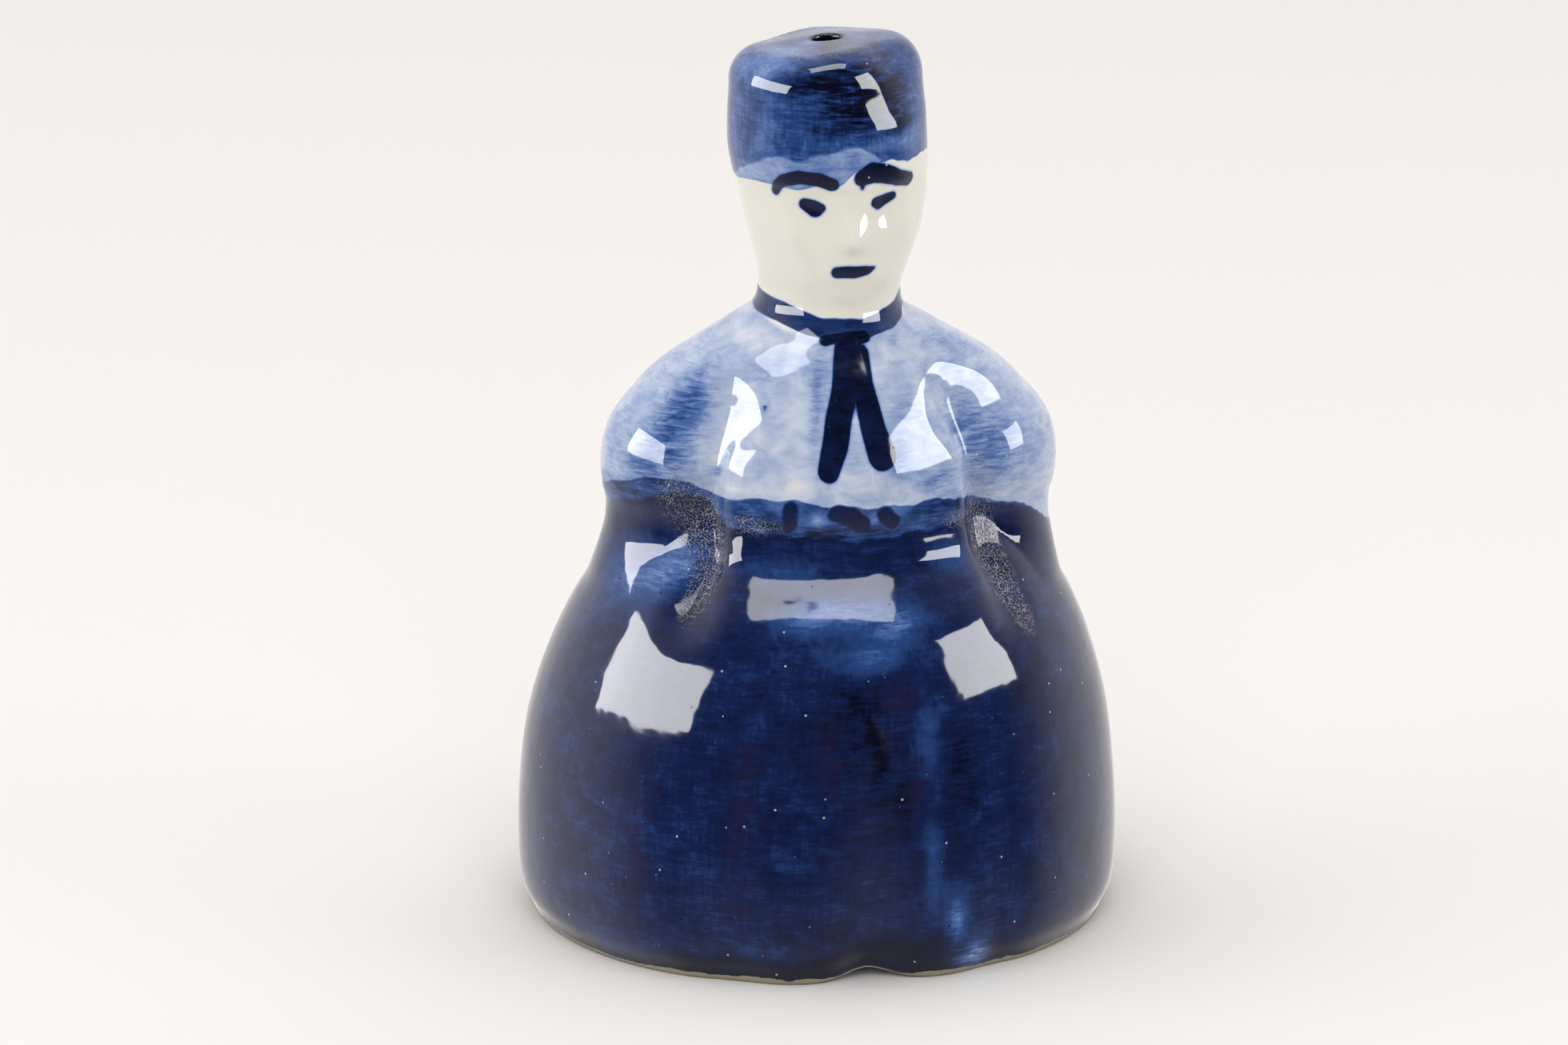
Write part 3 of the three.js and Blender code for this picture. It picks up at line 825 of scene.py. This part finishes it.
def drawn_steel_wire(finishes):
    """Steel wire, drawn through a die and dulled by the kiln: fine long scratches and a brownish film."""
    material, tree = new_material("drawn_steel_wire")
    place = add(tree, "ShaderNodeTexCoord").outputs["Object"]
    along = add(tree, "ShaderNodeMapping", {"Vector": place, "Scale": (1, 1, 0.05)})
    scratches = add(tree, "ShaderNodeTexNoise", {"Vector": along, "Scale": per(0.12), "Detail": 2})
    film = add(tree, "ShaderNodeTexNoise", {"Vector": place, "Scale": per(2.5), "Detail": 4})
    inputs = {"Value": film, "From Min": 0.42, "From Max": 0.68, "To Max": 0.8}
    stained = add(tree, "ShaderNodeMapRange", inputs)
    colour = add(tree, "ShaderNodeMix", {0: stained, 6: finishes.steel, 7: finishes.film}, data_type="RGBA")
    roughness = add(tree, "ShaderNodeMapRange", {"Value": film, "To Min": 0.28, "To Max": 0.6})
    bumps = add(tree, "ShaderNodeBump", {"Height": scratches, "Strength": 0.3, "Distance": 0.05 * MM})
    inputs = {"Base Color": colour, "Roughness": roughness, "Metallic": 1, "Normal": bumps}
    shader = add(tree, "ShaderNodeBsdfPrincipled", inputs)
    add(tree, "ShaderNodeOutputMaterial", {"Surface": shader})
    return material


def paper_sweep(finishes):
    """Matt white background paper, rolled out under the bell: no gloss, a very slight tooth."""
    material, tree = new_material("paper_sweep")
    place = add(tree, "ShaderNodeTexCoord").outputs["Object"]
    tooth = add(tree, "ShaderNodeTexNoise", {"Vector": place, "Scale": per(0.6), "Detail": 3})
    bumps = add(tree, "ShaderNodeBump", {"Height": tooth, "Strength": 0.08, "Distance": 0.05 * MM})
    inputs = {"Base Color": finishes.paper, "Roughness": 0.9, "Specular IOR Level": 0.1, "Normal": bumps}
    shader = add(tree, "ShaderNodeBsdfPrincipled", inputs)
    add(tree, "ShaderNodeOutputMaterial", {"Surface": shader})
    return material


# ---- pieces ----


class BELL_OT_shell(Operator):
    """Make the painted porcelain shell"""

    bl_idname = "bell.shell"
    bl_label = "Shell"

    def execute(self, context):
        bm, heading, z, outside, bore = shell_mesh(context.scene.bell_sizes)
        shell = new_object("shell", bm, [painted_porcelain(context.scene.bell_finishes)])
        paint(shell.data, heading, z, outside, bore)
        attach(shell, "bell")
        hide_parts("bell_body")
        return {"FINISHED"}


WIRE_SIDES = 20
RING_TURN = 354  # degrees of wire in the ring, its ends all but meeting
RING_SEAM = 200  # degrees, where round the ring its ends meet
STEM_CURL = 1.6  # mm, radius of the curl that carries the bead
STEM_LENGTHS = 12
RING_STEPS = 60  # lengths of wire in the ring, and in the stem's eye, curl and tight bends
EYE_STEPS = 48
CURL_STEPS = 40
TURN_STEPS = 10
BORE_EDGE = 0.4  # mm, rounding of the bead's bore
BEAD_SECTORS = 72
EYE_GAP = 34  # degrees from the stem, where a bent eye's end stops short of it
TIGHT_BEND = 0.9  # mm, radius where the wire turns out of an eye


def middle(low, high):
    """The point halfway between two corners."""
    return (low + high) / 2


def start_wire(radius, at, normal):
    """A new bmesh holding the round end of a wire, and that end's face."""
    bm = bmesh.new()
    made = bmesh.ops.create_circle(bm, cap_ends=True, segments=WIRE_SIDES, radius=radius * MM)
    turn = Vector(normal).to_track_quat("Z", "Y").to_matrix()
    bmesh.ops.rotate(bm, verts=made["verts"], cent=(0, 0, 0), matrix=turn)
    bmesh.ops.translate(bm, verts=made["verts"], vec=Vector(at) * MM)
    return bm, bm.faces[:]


def bend(bm, end, centre, axis, angle, steps):
    """Carries the wire's end round a centre, and returns the new end."""
    made = bmesh.ops.spin(
        bm, geom=end, cent=Vector(centre) * MM, axis=axis, angle=math.radians(angle), steps=steps
    )
    return [face for face in made["geom_last"] if isinstance(face, bmesh.types.BMFace)]


def draw_out(bm, end, vec):
    """Carries the wire's end straight on, and returns the new end."""
    made = bmesh.ops.extrude_face_region(bm, geom=end)
    verts = [v for v in made["geom"] if isinstance(v, bmesh.types.BMVert)]
    bmesh.ops.translate(bm, verts=verts, vec=Vector(vec) * MM)
    bmesh.ops.delete(bm, geom=[face for face in end if face.is_valid], context="FACES_ONLY")
    return [face for face in made["geom"] if isinstance(face, bmesh.types.BMFace)]


def finish_wire(bm):
    """Merges what the bends doubled and turns the faces outwards."""
    bmesh.ops.remove_doubles(bm, verts=bm.verts, dist=1e-6)
    bmesh.ops.recalc_face_normals(bm, faces=bm.faces)


class BELL_OT_hanger(Operator):
    """Make the pin across the neck and the ring that hangs on it"""

    bl_idname = "bell.hanger"
    bl_label = "Hanger"

    def execute(self, context):
        sizes = context.scene.bell_sizes
        steel = drawn_steel_wire(context.scene.bell_finishes)
        y, z = middle(BAR_LOW, BAR_HIGH).yz
        bm, end = start_wire(sizes.pin / MM, (BAR_LOW.x, y, z), (1, 0, 0))
        draw_out(bm, end, (BAR_HIGH.x - BAR_LOW.x, 0, 0))
        finish_wire(bm)
        pin = new_object("neck_pin", bm, [steel])
        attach(pin, "bell")
        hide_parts("hanger_bar")

        # a ring bent from one length of wire, its ends all but meeting
        centre = middle(RING_LOW, RING_HIGH)
        wire = sizes.wire / MM
        radius = (RING_HIGH.z - RING_LOW.z) / 2 - wire
        bm, end = start_wire(wire, (centre.x, centre.y + radius, centre.z), (0, 0, 1))
        bend(bm, end, centre, (1, 0, 0), RING_TURN, RING_STEPS)
        bmesh.ops.rotate(
            bm, verts=bm.verts, cent=centre * MM, matrix=Matrix.Rotation(math.radians(RING_SEAM), 3, "X")
        )
        finish_wire(bm)
        ring = new_object("wire_ring", bm, [steel])
        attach(ring, "hanger")
        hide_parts("hanger_ring")
        return {"FINISHED"}


class BELL_OT_clapper(Operator):
    """Make the clapper's wire stem and its bead"""

    bl_idname = "bell.clapper"
    bl_label = "Clapper"

    def execute(self, context):
        sizes = context.scene.bell_sizes
        finishes = context.scene.bell_finishes
        wire = sizes.wire / MM
        x, y = middle(STEM_LOW, STEM_HIGH).xy
        eye = (STEM_HIGH.x - STEM_LOW.x) / 2 - wire
        top = STEM_HIGH.z - wire - eye
        gap = math.radians(EYE_GAP)
        turn = math.degrees(math.asin(TIGHT_BEND / (eye + TIGHT_BEND)))
        drop = (eye + TIGHT_BEND) * math.cos(math.radians(turn))
        start = (x - eye * math.sin(gap), y, top - eye * math.cos(gap))
        bm, end = start_wire(wire, start, (math.cos(gap), 0, -math.sin(gap)))
        end = bend(bm, end, (x, y, top), (0, 1, 0), 360 - EYE_GAP - turn, EYE_STEPS)
        end = bend(bm, end, (x + TIGHT_BEND, y, top - drop), (0, 1, 0), turn - 90, TURN_STEPS)
        curl = STEM_CURL
        low_turn = math.degrees(math.asin(TIGHT_BEND / (curl + TIGHT_BEND)))
        low_drop = (curl + TIGHT_BEND) * math.cos(math.radians(low_turn))
        foot = STEM_LOW.z + wire + curl
        length = top - drop - foot - low_drop
        for _ in range(STEM_LENGTHS):
            end = draw_out(bm, end, (0, 0, -length / STEM_LENGTHS))
        end = bend(bm, end, (x + TIGHT_BEND, y, foot + low_drop), (0, 1, 0), low_turn - 90, TURN_STEPS)
        bend(bm, end, (x, y, foot), (0, 1, 0), 360 - EYE_GAP - low_turn, CURL_STEPS)
        finish_wire(bm)
        stem = new_object("wire_stem", bm, [drawn_steel_wire(finishes)])
        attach(stem, "clapper")
        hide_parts("clapper_stem")

        bead = self.bead(sizes, finishes)
        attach(bead, "bead")
        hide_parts("clapper_bead")
        return {"FINISHED"}

    def bead(self, sizes, finishes):
        """A round bead, its bore's edges softened by the glaze."""
        centre = middle(BEAD_LOW, BEAD_HIGH)
        radius, bore = sizes.bead, sizes.bore
        bm = bmesh.new()
        tilt = math.acos((bore + BORE_EDGE * MM) / radius)
        section = []
        for t in np.linspace(-tilt, tilt, 41):
            section.append(bm.verts.new((radius * math.cos(t), 0, radius * math.sin(t))))
        half = radius * math.sin(tilt)
        for side in (1, -1):
            for t in np.radians(np.linspace(25, 90, 4)) if side > 0 else np.radians(np.linspace(90, 25, 4)):
                round_x = bore + BORE_EDGE * MM * (1 - math.sin(t))
                round_z = half - BORE_EDGE * MM * (1 - math.cos(t))
                section.append(bm.verts.new((round_x, 0, side * round_z)))
        for a, b in zip(section, section[1:] + section[:1]):
            bm.edges.new((a, b))
        bmesh.ops.spin(
            bm,
            geom=bm.verts[:] + bm.edges[:],
            cent=(0, 0, 0),
            axis=(0, 0, 1),
            angle=math.tau,
            steps=BEAD_SECTORS,
            use_merge=True,
        )
        bmesh.ops.translate(bm, verts=bm.verts, vec=centre * MM)
        finish_wire(bm)
        return new_object("clapper_bead_glazed", bm, [white_porcelain(finishes)])


# ---- studio ----


AIM_RIGHT = -3.71  # mm, what the camera looks at, from the origin
AIM_UP = 42.33
FLOOR_HALF = 4


def direction(azimuth, elevation):
    """Unit vector towards a direction, with azimuth 0 in front of the figure."""
    level = math.cos(elevation)
    return Vector((math.sin(azimuth) * level, -math.cos(azimuth) * level, math.sin(elevation)))


# Softboxes round the bell: direction they stand in and angles they fill, in degrees, distance in metres,
# radiance in the gloss, and radiance on matt surfaces, where the fills take a part of their place.
SOFTBOXES = (
    ("softbox_right_hand", -86, 15, 50, 25, 1.2, 11, 3.2),
    ("softbox_left_hand", 63, 19, 30, 28, 1.2, 10.5, 3.2),
    ("softbox_over", -9, 75, 46, 17, 1.2, 6.5, 0),
    ("fill_over", 0, 85, 75, 75, 2.4, 0, 1.05),
    ("fill_front", -10, 38, 44, 34, 2.4, 0, 2.4),
)


def softbox(name, azimuth, elevation, wide, high, distance, gloss, matt):
    """Rectangular lights that fill the given angles, seen from the bell, and face it."""
    back = direction(math.radians(azimuth), math.radians(elevation))
    for use, radiance in (("gloss", gloss), ("matt", matt)):
        if not radiance:
            continue
        data = bpy.data.lights.new(f"{name}_{use}", "AREA")
        data.shape = "RECTANGLE"
        data.size = 2 * distance * math.tan(math.radians(wide / 2))
        data.size_y = 2 * distance * math.tan(math.radians(high / 2))
        data.energy = radiance * math.pi * data.size * data.size_y
        lamp = bpy.data.objects.new(f"{name}_{use}", data)
        lamp.location = Vector((0, 0, HEIGHT * MM / 2)) + back * distance
        lamp.rotation_mode = "QUATERNION"
        lamp.rotation_quaternion = back.to_track_quat("Z", "Y")
        lamp.visible_diffuse = use == "matt"
        lamp.visible_glossy = use == "gloss"
        bpy.context.scene.collection.objects.link(lamp)


def room():
    """A white wall behind the figure, a dim room before it and a table that dims towards its front edge."""
    world = bpy.data.worlds.new("studio")
    world.use_nodes = True
    tree = world.node_tree
    tree.nodes.clear()
    place = add(tree, "ShaderNodeTexCoord").outputs["Generated"]
    way = add(tree, "ShaderNodeSeparateXYZ", {"Vector": place})
    inputs = {"Value": way.outputs["Z"], "From Min": -0.1, "From Max": -0.6, "To Min": 0.04, "To Max": 0.45}
    table = add(tree, "ShaderNodeMapRange", inputs, interpolation_type="SMOOTHSTEP")
    inputs = {"Value": way.outputs["Y"], "From Min": -0.45, "From Max": 0.35, "To Min": table, "To Max": 1}
    lit = add(tree, "ShaderNodeMapRange", inputs, interpolation_type="SMOOTHSTEP")
    around = add(tree, "ShaderNodeBackground", {"Color": linear("#F7F3F0"), "Strength": lit})
    add(tree, "ShaderNodeOutputWorld", {"Surface": around})
    bpy.context.scene.world = world


class BELL_OT_studio(Operator):
    """Make the floor, the lights and the camera"""

    bl_idname = "bell.studio"
    bl_label = "Studio"

    def execute(self, context):
        studio = context.scene.bell_studio
        back = direction(studio.azimuth, studio.elevation)
        right = Vector((math.cos(studio.azimuth), math.sin(studio.azimuth), 0))
        up = back.cross(right)
        data = bpy.data.cameras.new("camera")
        data.lens = studio.lens
        data.sensor_width = 36
        camera = bpy.data.objects.new("camera", data)
        context.scene.collection.objects.link(camera)
        camera.location = right * AIM_RIGHT * MM + up * AIM_UP * MM + back * studio.distance
        camera.rotation_mode = "QUATERNION"
        camera.rotation_quaternion = back.to_track_quat("Z", "Y")
        context.scene.camera = camera

        bm = bmesh.new()
        bmesh.ops.create_grid(bm, x_segments=1, y_segments=1, size=FLOOR_HALF)
        floor = new_object("floor", bm, [paper_sweep(context.scene.bell_finishes)])
        floor.visible_glossy = False

        for row in SOFTBOXES:
            softbox(*row)
        room()
        context.scene.view_settings.view_transform = "Standard"
        return {"FINISHED"}


class BELL_PT_panel(Panel):
    """Lists the bell's pieces, sizes and colours"""

    bl_idname = "BELL_PT_panel"
    bl_label = "Porcelain bell"
    bl_space_type = "VIEW_3D"
    bl_region_type = "UI"
    bl_category = "Bell"

    def draw(self, context):
        scene = context.scene
        for group in (scene.bell_sizes, scene.bell_finishes, scene.bell_studio):
            for name in group.__annotations__:
                self.layout.prop(group, name)
        for step in STEPS:
            self.layout.operator(step.bl_idname)


STEPS = (BELL_OT_studio, BELL_OT_shell, BELL_OT_hanger, BELL_OT_clapper)
CLASSES = (BellSizes, BellFinishes, BellStudio, *STEPS, BELL_PT_panel)


def register():
    for made in CLASSES:
        bpy.utils.register_class(made)
    bpy.types.Scene.bell_sizes = PointerProperty(type=BellSizes)
    bpy.types.Scene.bell_finishes = PointerProperty(type=BellFinishes)
    bpy.types.Scene.bell_studio = PointerProperty(type=BellStudio)


def unregister():
    del bpy.types.Scene.bell_studio
    del bpy.types.Scene.bell_finishes
    del bpy.types.Scene.bell_sizes
    for made in reversed(CLASSES):
        bpy.utils.unregister_class(made)


def main():
    register()
    bpy.ops.bell.studio()
    bpy.ops.bell.shell()
    bpy.ops.bell.hanger()
    bpy.ops.bell.clapper()


if __name__ == "__main__":
    main()
